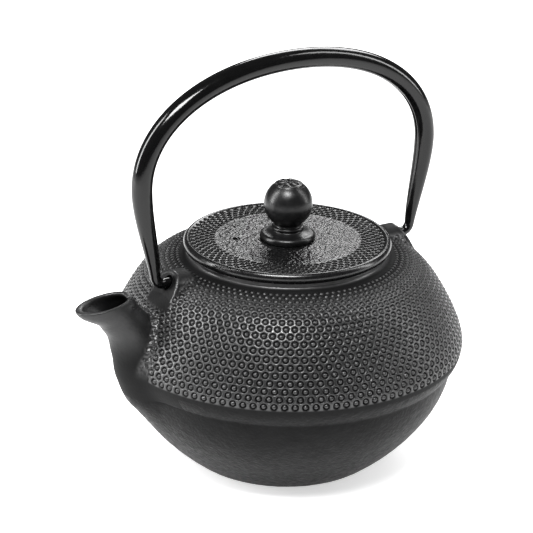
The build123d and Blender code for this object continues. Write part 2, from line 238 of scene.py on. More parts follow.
def spout_line():
    """Centre line of the spout as many sections: centre x and z, half sizes and lean."""
    rows = []
    for (x0, z0, a0, b0, l0), (x1, z1, a1, b1, l1) in zip(SPOUT, SPOUT[1:]):
        length = math.hypot(x1 - x0, z1 - z0)
        t = np.linspace(0, 1, 8, endpoint=False)
        h00, h10 = 2 * t**3 - 3 * t**2 + 1, t**3 - 2 * t**2 + t
        h01, h11 = -2 * t**3 + 3 * t**2, t**3 - t**2
        lean0, lean1 = math.radians(l0), math.radians(l1)
        x = h00 * x0 + h01 * x1 + length * (h10 * math.sin(lean0) + h11 * math.sin(lean1))
        z = h00 * z0 + h01 * z1 + length * (h10 * math.cos(lean0) + h11 * math.cos(lean1))
        ease = t * t * (3 - 2 * t) * 0.5 + t * 0.5
        rows.append(np.stack([x, z, a0 + (a1 - a0) * ease, b0 + (b1 - b0) * ease,
                              lean0 + (lean1 - lean0) * t], 1))
    x, z, a, b, lean = SPOUT[-1]
    rows.append(np.array([[x, z, a, b, math.radians(lean)]]))
    return np.concatenate(rows)


SPOUT_LINE = spout_line()


def spout_place(p):
    """Each point's section of the spout: in-plane offset, half sizes, place along it, height over the lip."""
    cx, cz, a, b, lean = SPOUT_LINE.T
    along = (p[:, 0:1] - cx) * np.sin(lean) + (p[:, 2:3] - cz) * np.cos(lean)
    last = len(cx) - 2
    index = np.clip((along >= 0).sum(1) - 1, 0, last)
    rows = np.arange(len(p))
    here, after = along[rows, index], along[rows, index + 1]
    share = np.clip(here / (here - after + 1e-9), 0, 1)

    def between(values):
        return values[index] + (values[index + 1] - values[index]) * share

    tilt = between(lean)
    offset = (p[:, 0] - between(cx)) * np.cos(tilt) - (p[:, 2] - between(cz)) * np.sin(tilt)
    return offset, between(a), between(b), index + share, along[:, -1], along[:, 0]


def oval_distance(offset, side, a, b):
    scaled = np.hypot(offset / a, side / b) + 1e-9
    slope = np.hypot(offset / a**2, side / b**2) + 1e-9
    return scaled * (scaled - 1) / slope


def spout_fields(p):
    """Outside and bore of the spout, far away where the point isn't near it."""
    outside = np.full(len(p), 60.0)
    bore = np.full(len(p), 60.0)
    depth = np.full(len(p), 99.0)
    near = (p[:, 0] > 50) & (np.abs(p[:, 1]) < 28) & (p[:, 2] > 26)
    q = p[near]
    if len(q):
        offset, a, b, place, over_lip, from_root = spout_place(q)
        body = oval_distance(offset, q[:, 1], a, b)
        body = smooth_max(body, over_lip, 1.2)
        outside[near] = np.maximum(body, -from_root)
        wall = SPOUT_WALL + (LIP_WALL - SPOUT_WALL) * place / (len(SPOUT_LINE) - 1)
        thick_tip = 1 + 0.42 * fade(place, 44, 56)
        hollow = oval_distance(offset + 0.5 * fade(place, 44, 56), q[:, 1], a - wall * thick_tip, b - wall)
        bore[near] = np.maximum(hollow, -from_root)
        depth[near] = -over_lip
    return outside, bore, depth


def lug_face(p):
    """Distance outwards from the sloping outer face of the nearer lug."""
    slope = np.array([LUG_TOP_Z - LUG_FOOT[1], LUG_FOOT[0] - LUG_TOP_X])
    slope /= np.hypot(*slope)
    return (np.abs(p[:, 0]) - LUG_FOOT[0]) * slope[0] + (p[:, 2] - LUG_FOOT[1]) * slope[1]


def lug_arch(p):
    """Distance outwards from the arched edge of the lugs."""
    over = np.maximum(p[:, 2] - (LUG_TOP_Z - LUG_HALF_WIDTH), 0)
    return np.hypot(p[:, 1], over) - LUG_HALF_WIDTH


def lug_field(p):
    """Both arched lugs, with a sloping outer face and a bevelled edge."""
    x, z = np.abs(p[:, 0]), p[:, 2]
    face, arch = lug_face(p), lug_arch(p)
    inner = (50.6 - x) * 0.80 + (z - LUG_TOP_Z) * 0.60
    solid = smooth_max(face, arch, 0.7)
    solid = smooth_max(solid, inner, 2.5)
    return np.maximum(solid, 76 - z)


def socket_field(p):
    hole = np.hypot(p[:, 1], p[:, 2] - HINGE_Z) - SOCKET_R
    return np.maximum(hole, SOCKET_END_X - np.abs(p[:, 0]))


def pot_field(p):
    outside, bore, _ = spout_fields(p)
    solid = smooth_min(shell_field(p), outside, 9.0)
    solid = smooth_min(solid, lug_field(p), 1.6)
    solid = smooth_max(solid, -cavity_field(p), 0.8)
    solid = smooth_max(solid, -bore, 2.2)
    return smooth_max(solid, -socket_field(p), 0.7)


# ------------------------------------------------------------------ surfaces from fields
def surface_net(field, low, high, pitch):
    """Quads round the surface where a field is zero."""
    axes = [np.arange(lo, hi + pitch, pitch) for lo, hi in zip(low, high)]
    shape = [len(axis) for axis in axes]
    points = np.stack(np.meshgrid(*axes, indexing="ij"), -1).reshape(-1, 3)
    values = np.concatenate([field(part) for part in np.array_split(points, 24)]).reshape(shape)
    inside = values < 0
    corners = [(i, j, k) for i in (0, 1) for j in (0, 1) for k in (0, 1)]
    count = np.zeros([n - 1 for n in shape], np.int8)
    for i, j, k in corners:
        count += inside[i:shape[0] - 1 + i, j:shape[1] - 1 + j, k:shape[2] - 1 + k]
    mixed = (count > 0) & (count < 8)
    number = np.full(mixed.shape, -1)
    number[mixed] = np.arange(mixed.sum())
    cell = np.argwhere(mixed)
    total = np.zeros((len(cell), 3))
    hits = np.zeros(len(cell))
    for a in corners:
        for b in corners:
            step = np.subtract(b, a)
            if step.sum() != 1 or step.min() < 0:
                continue
            va, vb = (values[tuple((cell + c).T)] for c in (a, b))
            crossing = (va < 0) != (vb < 0)
            t = np.where(crossing, va / np.where(crossing, va - vb, 1), 0)
            total += np.where(crossing[:, None], a + step * t[:, None], 0)
            hits += crossing
    verts = np.array(low) + pitch * (cell + total / hits[:, None])
    quads = []
    for axis in range(3):
        u, v = (axis + 1) % 3, (axis + 2) % 3
        near, far = [slice(1, -1)] * 3, [slice(1, -1)] * 3
        near[axis], far[axis] = slice(0, -1), slice(1, None)
        first, second = inside[tuple(near)], inside[tuple(far)]
        for hit, turned in ((first & ~second, False), (~first & second, True)):
            base = np.argwhere(hit)
            base[:, u] += 1
            base[:, v] += 1
            ring = []
            for du, dv in ((1, 1), (0, 1), (0, 0), (1, 0)):
                cells = base.copy()
                cells[:, u] -= du
                cells[:, v] -= dv
                ring.append(number[tuple(cells.T)])
            quad = np.stack(ring, 1)
            quads.append(quad[:, ::-1] if turned else quad)
    return verts, np.concatenate(quads)


def slope_of(field, points, step=0.12):
    slope = np.zeros(points.shape)
    for axis in range(3):
        move = np.zeros(3)
        move[axis] = step
        slope[:, axis] = (field(points + move) - field(points - move)) / (2 * step)
    return slope


def settle(field, points, rounds):
    """Moves points onto the zero surface."""
    for _ in range(rounds):
        slope = slope_of(field, points)
        size = np.maximum((slope**2).sum(1), 0.2)
        points = points - np.clip(field(points) / size, -0.6, 0.6)[:, None] * slope
    return points


def relax(verts, quads, amount):
    """Evens out the spacing: each point moves towards the mean of its neighbours."""
    total = np.zeros(verts.shape)
    count = np.zeros(len(verts))
    for i in range(4):
        for other in (quads[:, (i + 1) % 4], quads[:, i - 1]):
            for axis in range(3):
                total[:, axis] += np.bincount(quads[:, i], verts[other, axis], len(verts))
            count += np.bincount(quads[:, i], minlength=len(verts))
    return verts + amount * (total / np.maximum(count, 1)[:, None] - verts)


def subdivide(verts, quads):
    edges = np.sort(np.concatenate([quads[:, [i, (i + 1) % 4]] for i in range(4)]), 1)
    key = edges[:, 0] * len(verts) + edges[:, 1]
    _, first, inverse = np.unique(key, return_index=True, return_inverse=True)
    middles = verts[edges[first]].mean(1)
    centres = verts[quads].mean(1)
    edge = (len(verts) + inverse).reshape(4, len(quads))
    centre = len(verts) + len(middles) + np.arange(len(quads))
    parts = [np.stack([quads[:, i], edge[i], centre, edge[i - 1]], 1) for i in range(4)]
    return np.concatenate([verts, middles, centres]), np.concatenate(parts)


def kept(verts, quads, keep):
    """The chosen quads with only the points they use."""
    quads = quads[keep]
    used, inverse = np.unique(quads, return_inverse=True)
    return verts[used], inverse.reshape(quads.shape)


def refined(field, verts, quads, times):
    for _ in range(times):
        verts, quads = subdivide(verts, quads)
        verts = settle(field, verts, 2)
    return verts, quads


def even_net(field, low, high, pitch):
    verts, quads = surface_net(field, low, high, pitch)
    for _ in range(3):
        verts = settle(field, relax(verts, quads, 0.5), 2)
    return verts, quads


# ------------------------------------------------------------------ relief
def grain(points, size, seed):
    """Smooth noise between about -1 and 1, with features of that size."""
    shift = Vector((seed * 7.13, seed * 3.71, seed * 5.37))
    scale = 1 / size
    return np.array([noise.noise(Vector(p) * scale + shift) for p in points.tolist()])


def hobnail_rows():
    """Arc length from the lowest row up the shoulder, and radius, of each row."""
    start = np.argmin(np.abs(SHOULDER[:, 1] - HOBNAIL_FIRST_Z))
    steps = np.hypot(*np.diff(SHOULDER, axis=0).T)
    length = np.concatenate([[0], np.cumsum(steps)])
    length -= length[start]
    places, radii = [0.0], [SHOULDER[start, 0]]
    for _ in range(HOBNAIL_ROWS - 1):
        pitch = 2 * math.pi * radii[-1] / HOBNAIL_COUNT
        places.append(places[-1] + min(HOBNAIL_MAX_SPACING, HOBNAIL_SPACING_SHARE * pitch))
        radii.append(float(np.interp(places[-1], length, SHOULDER[:, 0])))
    return length, np.array(places), np.array(radii)


def hobnail_relief(angle, place, radius, row_places, row_radii, count, depth, rise, ridge_fade=0.0):
    """Height of domes in round recesses, and a mark of 1 on domes and ridges and 0 in the recesses, which
    sets gloss and painted shade.
    """
    rows = np.arange(len(row_places))
    row = np.interp(place, row_places, rows)
    nearest = np.full(len(place), 1e9)
    size = np.ones(len(place))
    vary = np.zeros(len(place))
    for candidate in (np.floor(row).astype(int), np.ceil(row).astype(int)):
        turn = angle * count / (2 * math.pi) + 0.5 * (candidate % 2)
        column = np.round(turn)
        across = (turn - column) * 2 * math.pi / count * radius
        distance = np.hypot(across, place - row_places[candidate])
        pitch = 2 * math.pi * row_radii[candidate] / count
        spacing = np.gradient(row_places)[candidate]
        cell = np.minimum(pitch, np.hypot(spacing, pitch / 2))
        closer = distance < nearest
        nearest = np.where(closer, distance, nearest)
        size = np.where(closer, cell, size)
        key = np.sin(candidate * 12.9898 + (column % count) * 78.233) * 43758.5453
        vary = np.where(closer, key - np.floor(key) - 0.5, vary)
    dome_r = size * (0.285 + 0.02 * vary)
    recess_r = size * 0.43
    dome = np.sqrt(np.clip(1 - (nearest / dome_r) ** 2, 0, 1))
    wall = fade(nearest, dome_r * 1.08, recess_r)
    height = -depth * (1 - wall) + (depth + rise * (1 + 0.3 * vary)) * dome
    # Raised domes get a full mark; sunken domes get a low one, so painted shade darkens them like the
    # recesses.
    gloss_and_shade_level = 1.4 if rise > 0 else 0.35
    ridge = fade(wall, 0.55, 1.0) * (1 - ridge_fade * fade(row, len(rows) - 6.0, len(rows) - 1.0))
    return height * size / size.max(), np.clip(np.maximum(dome * gloss_and_shade_level, ridge), 0, 1)


# ------------------------------------------------------------------ pieces
def make_piece(name, verts, faces, material, body, marks=None):
    """Blender object from millimetre points, riding on a body."""
    mesh = bpy.data.meshes.new(name)
    mesh.vertices.add(len(verts))
    mesh.vertices.foreach_set("co", (np.asarray(verts) * MM).ravel())
    sides = faces.shape[1]
    mesh.loops.add(faces.size)
    mesh.loops.foreach_set("vertex_index", faces.ravel().astype(np.int32))
    mesh.polygons.add(len(faces))
    mesh.polygons.foreach_set("loop_start", np.arange(0, faces.size, sides, dtype=np.int32))
    mesh.update(calc_edges=True)
    mesh.validate()
    mesh.shade_smooth()
    for key, values in (marks or {}).items():
        mark = mesh.attributes.new(key, "FLOAT", "POINT")
        mark.data.foreach_set("value", np.asarray(values, np.float32))
    mesh.materials.append(material)
    piece = bpy.data.objects.new(name, mesh)
    bpy.context.scene.collection.objects.link(piece)
    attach(piece, body)
    return piece


def lathe_faces(rows, segments):
    """Quads of a closed-round grid, rows from first to last."""
    i = np.arange(rows - 1)[:, None]
    j = np.arange(segments)[None, :]
    after = (j + 1) % segments
    return np.stack([i * segments + j, i * segments + after, (i + 1) * segments + after,
                     (i + 1) * segments + j], -1).reshape(-1, 4)


# ------------------------------------------------------------------ materials
def shader(name, roughness, metallic=0.0, colour=(0.02, 0.02, 0.02), specular=0.5):
    material = bpy.data.materials.new(name)
    material.use_nodes = True
    nodes = material.node_tree.nodes
    base = nodes["Principled BSDF"]
    base.inputs["Base Color"].default_value = (*colour, 1)
    base.inputs["Roughness"].default_value = roughness
    base.inputs["Metallic"].default_value = metallic
    base.inputs["Specular IOR Level"].default_value = specular
    place = nodes.new("ShaderNodeTexCoord")
    return material, nodes, material.node_tree.links, base, place.outputs["Object"]


def noise_node(nodes, links, place, size_mm, detail=3.0, stretch=None):
    """Noise with features of about that size."""
    texture = nodes.new("ShaderNodeTexNoise")
    texture.inputs["Scale"].default_value = 1000.0 / size_mm
    texture.inputs["Detail"].default_value = detail
    texture.inputs["Roughness"].default_value = 0.55
    if stretch:
        mapping = nodes.new("ShaderNodeMapping")
        mapping.inputs["Scale"].default_value = stretch
        links.new(place, mapping.inputs["Vector"])
        place = mapping.outputs["Vector"]
    links.new(place, texture.inputs["Vector"])
    return texture.outputs["Fac"]


def ramp(nodes, links, source, stops):
    node = nodes.new("ShaderNodeValToRGB")
    bar = node.color_ramp
    while len(bar.elements) < len(stops):
        bar.elements.new(0.5)
    for element, (position, colour) in zip(bar.elements, stops):
        element.position = position
        element.color = (*colour, 1) if len(colour) == 3 else colour
    links.new(source, node.inputs["Fac"])
    return node.outputs["Color"]


def spread(nodes, links, source, low, high, start=0.3, end=0.7):
    """Takes values from start to end onto low to high."""
    node = nodes.new("ShaderNodeMapRange")
    node.inputs["From Min"].default_value = start
    node.inputs["From Max"].default_value = end
    node.inputs["To Min"].default_value = low
    node.inputs["To Max"].default_value = high
    links.new(source, node.inputs["Value"])
    return node.outputs["Result"]


def bump(nodes, links, source, distance_mm, strength=1.0, under=None):
    node = nodes.new("ShaderNodeBump")
    node.inputs["Distance"].default_value = distance_mm * MM
    node.inputs["Strength"].default_value = strength
    links.new(source, node.inputs["Height"])
    if under is not None:
        links.new(under, node.inputs["Normal"])
    return node.outputs["Normal"]


def mark_node(nodes, name):
    """A piece's own mark, as a value from 0 to 1."""
    node = nodes.new("ShaderNodeAttribute")
    node.attribute_name = name
    return node.outputs["Fac"]


def enamel(name, tones, rough, peel_size, peel_depth, specular, relief=False, peel=False):
    """Black enamel over cast iron: orange peel, fine grit and uneven gloss; with relief, rougher in the
    recesses, with painted shade there as a darker colour and lower specular.
    """
    dark, light = ((tone, tone, 1.035 * tone) for tone in tones)
    material, nodes, links, base, place = shader(name, rough[1], specular=specular)
    colour = ramp(nodes, links, noise_node(nodes, links, place, 9.0, 4.0), [(0.3, dark), (0.7, light)])
    roughness = spread(nodes, links, noise_node(nodes, links, place, 2.2, 3.0), *rough)
    if relief:
        mark = mark_node(nodes, "relief")
        blend = nodes.new("ShaderNodeMapRange")
        blend.inputs["To Min"].default_value = rough[1] + RECESS_ROUGHER
        links.new(mark, blend.inputs["Value"])
        links.new(roughness, blend.inputs["To Max"])
        roughness = blend.outputs["Result"]
        # Painted shade: the colour falls to a darker tone where the relief mark is low, in the recesses.
        recess_shade = nodes.new("ShaderNodeMix")
        recess_shade.data_type = "RGBA"
        recess_shade.inputs["A"].default_value = (*(RECESS_SHADE_TONE * value for value in dark), 1)
        links.new(mark, recess_shade.inputs["Factor"])
        links.new(colour, recess_shade.inputs["B"])
        colour = recess_shade.outputs["Result"]
        # Specular drops where the relief mark is low, which also paints shade into the recesses.
        gloss_and_shade_level = spread(nodes, links, mark, RECESS_SPECULAR, specular, 0.0, 1.0)
        links.new(gloss_and_shade_level, base.inputs["Specular IOR Level"])
    links.new(colour, base.inputs["Base Color"])
    links.new(roughness, base.inputs["Roughness"])
    skin = bump(nodes, links, noise_node(nodes, links, place, peel_size, 2.0), peel_depth)
    grit_noise = noise_node(nodes, links, place, 0.35, 2.0)
    grit = bump(nodes, links, grit_noise, peel_depth * 0.25, 0.6, skin)
    if peel:
        where = mark_node(nodes, "peel")
        links.new(where, skin.node.inputs["Strength"])
        links.new(where, grit.node.inputs["Strength"])
    links.new(grit, base.inputs["Normal"])
    return material


def steel(name, colour, rough_low, rough_high, stretch):
    """Stainless steel with fine drawn lines and slight stains."""
    material, nodes, links, base, place = shader(name, rough_high, metallic=1.0, colour=colour)
    lines = noise_node(nodes, links, place, 0.5, 4.0, stretch)
    links.new(spread(nodes, links, lines, rough_low, rough_high), base.inputs["Roughness"])
    cloud = noise_node(nodes, links, place, 6.0, 3.0)
    dull = tuple(0.82 * c for c in colour)
    links.new(ramp(nodes, links, cloud, [(0.35, dull), (0.65, colour)]), base.inputs["Base Color"])
    links.new(bump(nodes, links, lines, 0.02, 0.5), base.inputs["Normal"])
    return material


# The recess tone and recess specular below paint shade into the recesses; the recess roughness is the finish.
RECESS_ROUGHER = 0.3
RECESS_SHADE_TONE = 0.5
RECESS_SPECULAR = 0.14
MAT_SHOULDER = enamel("pot_shoulder_enamel", (0.010, 0.018), (0.27, 0.40), 1.1, 0.11, 0.8, relief=True)
MAT_BOWL = enamel("pot_bowl_enamel", (0.0045, 0.008), (0.38, 0.52), 1.3, 0.2, 0.13)
MAT_LID = enamel("lid_enamel", (0.004, 0.007), (0.17, 0.26), 1.0, 0.3, 0.6, relief=True, peel=True)
MAT_KNOB = enamel("knob_enamel", (0.004, 0.008), (0.28, 0.38), 3.0, 0.08, 0.42)
MAT_HANDLE = enamel("handle_paint", (0.003, 0.005), (0.10, 0.17), 2.4, 0.03, 0.42)
MAT_FASTENER = steel("fastener_steel", (0.45, 0.45, 0.46), 0.25, 0.42, (1, 1, 6))
MAT_INFUSER = steel("infuser_polished_steel", (0.62, 0.62, 0.63), 0.12, 0.26, (1, 1, 12))
MAT_MESH = steel("infuser_mesh_steel", (0.55, 0.55, 0.56), 0.2, 0.36, (8, 8, 1))


# ------------------------------------------------------------------ pot pieces
def build_pot():
    pitch = 1.3
    verts, quads = even_net(pot_field, (-82, -82, -4), (106, 82, 100), pitch)
    _, bore, depth = spout_fields(verts)
    hidden = (np.minimum(cavity_field(verts), bore) < 0.35) & (depth > 12)
    mouth = np.hypot(verts[:, 0], verts[:, 1]) < COLLAR_R - 2.5
    lower = hidden | mouth | (verts[:, 2] < SPLIT_Z) & (depth > 45)
    is_lower = lower[quads].all(1)

    upper_v, upper_q = kept(verts, quads, ~is_lower)
    upper_v, upper_q = refined(pot_field, upper_v, upper_q, 2)
    upper_v, marks = hobnailed_pot(upper_v)
    marks = {"relief": marks}
    upper = make_piece("pot_shoulder", upper_v, upper_q, MAT_SHOULDER, "pot", marks)

    lower_v, lower_q = kept(verts, quads, is_lower)
    lower_v, lower_q = refined(pot_field, lower_v, lower_q, 1)
    lower_v = lower_v + peel_of(pot_field, lower_v, 0.07, 3.2, 4)
    lower_piece = make_piece("pot_bowl", lower_v, lower_q, MAT_BOWL, "pot")
    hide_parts("pot_body", "pot_spout")
    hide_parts("pot_body")


def peel_of(field, points, depth, size, seed):
    """Orange peel as small moves along the surface's normal."""
    slope = slope_of(field, points)
    slope /= np.maximum(np.linalg.norm(slope, axis=1), 1e-6)[:, None]
    return slope * (depth * grain(points, size, seed))[:, None]


def hobnailed_pot(verts):
    """Hobnails on the plain shoulder and rough casting skin round the spout and lugs, with their gloss mark,
    whose low values paint shade into the hobnail recesses.
    """
    length, row_places, row_radii = hobnail_rows()
    radius = np.hypot(verts[:, 0], verts[:, 1])
    side, z = np.abs(verts[:, 1]), verts[:, 2]
    angle = np.arctan2(verts[:, 1], verts[:, 0])
    place = np.interp(z - radius, SHOULDER[:, 1] - SHOULDER[:, 0], length)
    height, mark = hobnail_relief(angle, place, radius, row_places, row_radii, HOBNAIL_COUNT, HOBNAIL_DEPTH,
                                  HOBNAIL_RISE, ridge_fade=0.95)
    raised = shell_field(verts)
    rough, fine, coarse = grain(verts, 1.7, 1), grain(verts, 0.9, 3), grain(verts, 4.0, 2)
    edge = raised + 0.25 * coarse
    top, bottom = row_places[-1] + 1.1, row_places[0] - 1.5

    on_lug = 1 - fade(side, LUG_HALF_WIDTH - 0.6, LUG_HALF_WIDTH + 0.6)
    on_lug *= fade(z, 79.0, 82.0) * (1 - fade(np.abs(lug_face(verts)), 0.8, 1.6))
    dots = (1 - fade(edge, 0.35, 0.8)) * (1 - on_lug)
    dots *= fade(place, bottom - 0.5, bottom + 0.4) * (1 - fade(place, top, top + 0.7))
    dots *= 1 - fade(z, SHOULDER_Z - 0.5, SHOULDER_Z + 0.2)
    skin = fade(edge, 0.2, 0.6) * (1 - fade(raised + 0.4 * coarse, 2.2, 4.2)) * (1 - on_lug)
    skin *= fade(z, 53.0, 62.0) * (1 - fade(z, 91.5, 93.5))
    move = height * dots + (0.42 * rough + 0.3 * fine) * skin + 0.012 * coarse
    slope = slope_of(pot_field, verts)
    slope /= np.maximum(np.linalg.norm(slope, axis=1), 1e-6)[:, None]

    on_collar = fade(z, SHOULDER_Z, SHOULDER_Z + 1.0) * (radius < COLLAR_R + 1.5)
    gloss = 0.08 + 0.6 * fade(z, 60.0, 76.0) * fade(raised, 2.0, 5.0)
    gloss = np.maximum(gloss, 0.95 * on_collar)
    lug = (lug_field(verts) < 0.8) & (raised > 0.5) & (z > 82)
    bevel = lug & (np.hypot(lug_face(verts), lug_arch(verts)) < 0.9)
    gloss = np.where(bevel, 1.0, np.where(lug, 0.15, gloss))
    gloss = gloss + (1 - gloss) * skin
    # Returned mark: gloss on plain metal and skin, and 0 in the hobnail recesses for painted shade.
    return verts + slope * move[:, None], gloss + dots * (mark - gloss)


# ------------------------------------------------------------------ lid and knob
BEAD_LOW = (LID_R - 0.9, COLLAR_Z)
BEAD_HIGH = (LID_R - 1.1, RIM_TOP_Z - 0.15)
LID_OUTLINE = joined(
    (-10, BOSS_Z), (BOSS_R, BOSS_Z), (BOSS_R + 0.3, LID_UNDER_Z), (SKIRT_INNER_R, LID_UNDER_Z),
    (SKIRT_INNER_R, SKIRT_LOW_Z), (SKIRT_OUTER_R, SKIRT_LOW_Z), (SKIRT_OUTER_R, COLLAR_Z), BEAD_LOW,
    arc(BEAD_LOW, (LID_R, 97.4), BEAD_HIGH),
    arc(BEAD_HIGH, (43.0, RIM_TOP_Z), (RIM_INNER_R, LID_TOP_Z)),
    (RIM_INNER_R, LID_TOP_Z), (-10, LID_TOP_Z),
)
lid_plate_field = revolved(LID_OUTLINE, 84, 106, 0.3)


def from_vent(p):
    return np.hypot(p[:, 0] - VENT_CENTRE[0], p[:, 1] - VENT_CENTRE[1])


def lid_field(p):
    solid = smooth_max(lid_plate_field(p), VENT_R - from_vent(p), 1.2)
    return np.maximum(solid, SCREW_HOLE_R - np.hypot(p[:, 0], p[:, 1]))


def build_lid():
    """Lid with a ring of dots inside its bead and a pebbled centre round the vent."""
    verts, quads = even_net(lid_field, (-47, -47, 88.7), (47, 47, 102), 1.25)
    verts, quads = refined(lid_field, verts, quads, 2)
    radius = np.hypot(verts[:, 0], verts[:, 1])
    angle = np.arctan2(verts[:, 1], verts[:, 0])
    rows = LID_DOT_FIRST_R + LID_DOT_SPACING * np.arange(LID_DOT_ROWS)
    height, mark = hobnail_relief(angle, radius, radius, rows, rows, LID_DOT_COUNT, LID_DOT_DEPTH,
                                  LID_DOT_RISE)
    upper = verts[:, 2] > LID_TOP_Z - 0.8
    on_ring = fade(radius, 31.4, 31.9) * (1 - fade(radius, 41.9, 42.3)) * upper
    centre = (1 - fade(radius, 30.5, 31.6)) * upper
    pebbles = 0.2 * grain(verts, 1.6, 7) + 0.26 * grain(verts, 1.0, 8)
    verts[:, 2] += height * on_ring + centre * fade(from_vent(verts), 2.0, 3.2) * pebbles
    # The relief mark is 0 in the dot recesses of the ring, where it paints shade, and sets gloss elsewhere.
    marks = {"relief": 0.9 + 0.1 * centre + on_ring * (mark - 0.9), "peel": centre}
    piece = make_piece("lid", verts, quads, MAT_LID, "lid", marks)
    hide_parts("lid_plate")


def build_knob():
    """Ball knob, turned about the pot's axis, with petals pressed up from its flat top."""
    segments = 160
    flat_z, petal_end, bud_r = 124.0, 5.4, 0.9
    outline = joined(
        (2.0, LID_TOP_Z + 0.02), (10.7, LID_TOP_Z + 0.02),
        arc((11.4, LID_TOP_Z + 0.02), (12.0, 100.3), (10.3, 102.0)),
        arc((10.3, 102.0), (7.9, 102.5), (6.5, 103.4), 8),
        arc((6.4, 103.45), (7.1, 104.2), (6.3, 104.95)),
        arc((6.1, 105.1), (5.9, 105.8), (6.5, 106.6), 6),
        arc((6.5, 106.6), (10.5, 115.4), (6.2, 123.5), 40),
        arc((6.2, 123.5), (5.9, 123.9), (petal_end, flat_z), 5),
        np.stack([np.linspace(petal_end, 0.05, 28), np.full(28, flat_z)], 1),
    )
    angle = 2 * math.pi * np.arange(segments) / segments
    r = outline[:, 0:1] * np.ones(segments)
    z = outline[:, 1:2] * np.ones(segments)
    on_top = (z > flat_z - 0.05) & (r < KNOB_TOP_R)
    lobe = np.abs(np.cos(angle * PETALS / 2)) ** 0.7
    span = np.clip((r - bud_r) / (petal_end - bud_r), 0, 1)
    petals = 0.85 * lobe * np.sin(math.pi * span) ** 0.6
    bud = 0.75 * np.exp(-((r / bud_r) ** 2))
    z = z + on_top * np.maximum(petals, bud)
    verts = np.stack([r * np.cos(angle), r * np.sin(angle), z], -1).reshape(-1, 3)
    piece = make_piece("knob", verts, lathe_faces(len(outline), segments), MAT_KNOB, "lid")
    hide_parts("lid_knob")


# ------------------------------------------------------------------ handle
def handle_line():
    """Centre line and radius from one hook over the arch to the other."""
    hook_steps, bend_steps, arm_steps, arch_steps = 10, 14, 50, 90
    hook_x = np.linspace(HOOK_TIP_X, BEND_CENTRE_X, hook_steps, endpoint=False)
    hook = np.stack([hook_x, np.full(hook_steps, HINGE_Z)], 1)
    angle = np.linspace(-math.pi / 2, -ARM_LEAN, bend_steps, endpoint=False)
    centre = (BEND_CENTRE_X, HINGE_Z + BEND_R)
    bend = centre + BEND_R * np.stack([np.cos(angle), np.sin(angle)], 1)
    end = (centre[0] + BEND_R * math.cos(ARM_LEAN), centre[1] - BEND_R * math.sin(ARM_LEAN))
    foot = (ARCH_HALF_SPAN, ARCH_FOOT_Z)
    lean = (ARM_PULL * math.sin(ARM_LEAN), ARM_PULL * math.cos(ARM_LEAN))
    arm = bezier(end, (end[0] + lean[0], end[1] + lean[1]), (foot[0], foot[1] - ARM_PULL), foot, arm_steps)
    high = ARCH_FOOT_Z + (ARCH_TOP_Z - ARCH_FOOT_Z) * ARCH_FULLNESS
    flat = ARCH_HALF_SPAN * ARCH_FULLNESS
    arch = bezier(foot, (foot[0], high), (flat, ARCH_TOP_Z), (0, ARCH_TOP_Z), arch_steps)
    half = np.concatenate([hook, bend, arm, arch])
    taper = 1 - np.linspace(0, 1, arm_steps, endpoint=False)
    arm_radius = TUBE_R + (HOOK_R - TUBE_R) * taper**1.5
    hook_radius = np.full(hook_steps + bend_steps, HOOK_R)
    radius = np.concatenate([hook_radius, arm_radius, np.full(arch_steps, TUBE_R)])
    line = np.concatenate([half, [(0, ARCH_TOP_Z)], half[::-1] * (-1, 1)])
    return line, np.concatenate([radius, [TUBE_R], radius[::-1]])


def build_handle():
    """Rolled tube whose edges meet in a seam along the inner side."""
    line, radius = handle_line()
    tangent = np.gradient(line, axis=0)
    tangent /= np.linalg.norm(tangent, axis=1)[:, None]
    inward = np.stack([-tangent[:, 1], tangent[:, 0]], 1)
    segments = 96
    angle = 2 * math.pi * np.arange(segments) / segments
    off_seam = np.abs((angle + math.pi) % (2 * math.pi) - math.pi)
    groove = 1 - 0.13 * np.exp(-((off_seam / 0.085) ** 2)) - 0.035 * np.exp(-((off_seam / 0.35) ** 2))
    tube = fade(radius, HOOK_R + 0.3, TUBE_R - 0.9)[:, None]
    section = radius[:, None] * (1 + tube * (groove - 1))
    caps_line, caps_section, caps_inward = [line], [section], [inward]
    for end, ahead in ((0, -1), (-1, 1)):
        tip = [line[end] + ahead * tangent[end] * HOOK_R * s for s in (0.35, 0.5)]
        shrink = [np.full(segments, HOOK_R * s) for s in (0.8, 0.02)]
        if ahead < 0:
            tip, shrink = tip[::-1], shrink[::-1]
            caps_line.insert(0, np.array(tip))
            caps_section.insert(0, np.array(shrink))
            caps_inward.insert(0, np.repeat(inward[end:end + 1], 2, 0))
        else:
            caps_line.append(np.array(tip))
            caps_section.append(np.array(shrink))
            caps_inward.append(np.repeat(inward[end:][:1], 2, 0))
    line, section, inward = (np.concatenate(c) for c in (caps_line, caps_section, caps_inward))
    x = line[:, 0:1] + section * np.cos(angle) * inward[:, 0:1]
    z = line[:, 1:2] + section * np.cos(angle) * inward[:, 1:2]
    y = section * np.sin(angle)
    verts = np.stack([x, y, z], -1).reshape(-1, 3)
    faces = lathe_faces(len(line), segments)[:, ::-1]
    piece = make_piece("handle_tube", verts, faces, MAT_HANDLE, "handle")
    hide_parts("handle")


# ------------------------------------------------------------------ infuser
CELL_EDGE = np.array([
    (0.5, 0.0), (0.5, 0.5), (0.0, 0.5), (-0.5, 0.5), (-0.5, 0.0), (-0.5, -0.5), (0.0, -0.5), (0.5, -0.5),
])
AROUND = np.arange(8) * math.pi / 4 + math.pi / 8
HOLE = 0.29 * np.stack([np.cos(AROUND), np.sin(AROUND)], 1)
WALL_HOLES = 104                 # round every row
FLOOR_PITCH = 2.1
SHEET = 0.5


